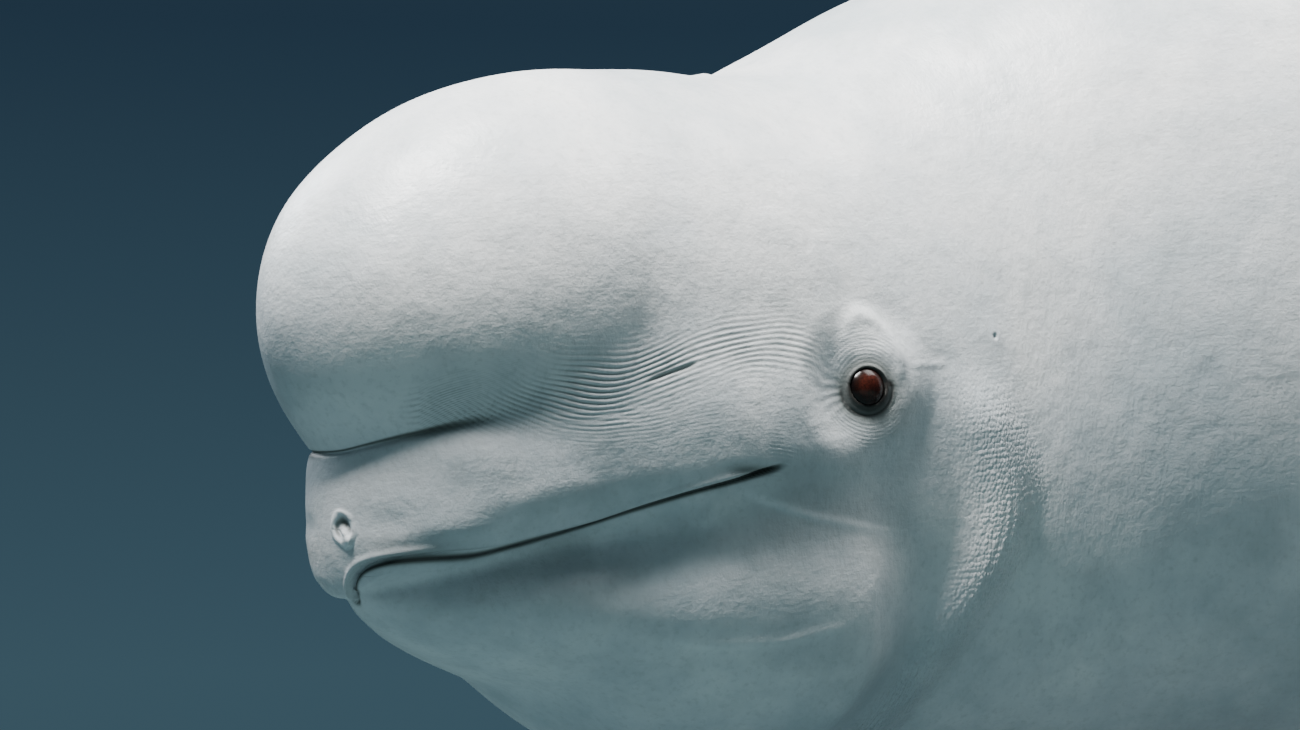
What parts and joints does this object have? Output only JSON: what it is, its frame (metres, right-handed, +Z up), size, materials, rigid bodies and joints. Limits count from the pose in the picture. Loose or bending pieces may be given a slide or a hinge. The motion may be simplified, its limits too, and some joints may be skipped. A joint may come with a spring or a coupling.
{
  "type": "beluga whale",
  "caption": "Life-size still model of a white whale with a domed forehead, short beak and closed mouth, its head turned to its left, held over a flat base by short rods.",
  "frame": {"origin": "middle of the underside of the display stand's base", "axes": "+X tailward along the body, the head toward -X; -Y the animal's left; +Z up"},
  "size_m": [4.0192, 1.2444, 1.2023],
  "materials": {
    "skin": "smooth wet-looking white skin with faint grey mottling, satin",
    "eye": "very dark brown, glossy",
    "stand_paint": "grey paint, satin",
    "stand_steel": "brushed"
  },
  "bodies": {
    "root": {"melon": "skin", "upper_jaw": "skin", "lower_jaw": "skin", "head": "skin", "neck": "skin", "torso_front": "skin", "torso_rear": "skin", "tail_stock": "skin", "flipper_left": "skin", "flipper_right": "skin", "fluke_left": "skin", "fluke_right": "skin", "eye_left": "eye", "eye_right": "eye", "stand_base": "stand_paint", "stand_foot_front": "stand_steel", "stand_foot_rear": "stand_steel", "stand_rod_front": "stand_steel", "stand_rod_rear": "stand_steel"}
  },
  "joints": []
}
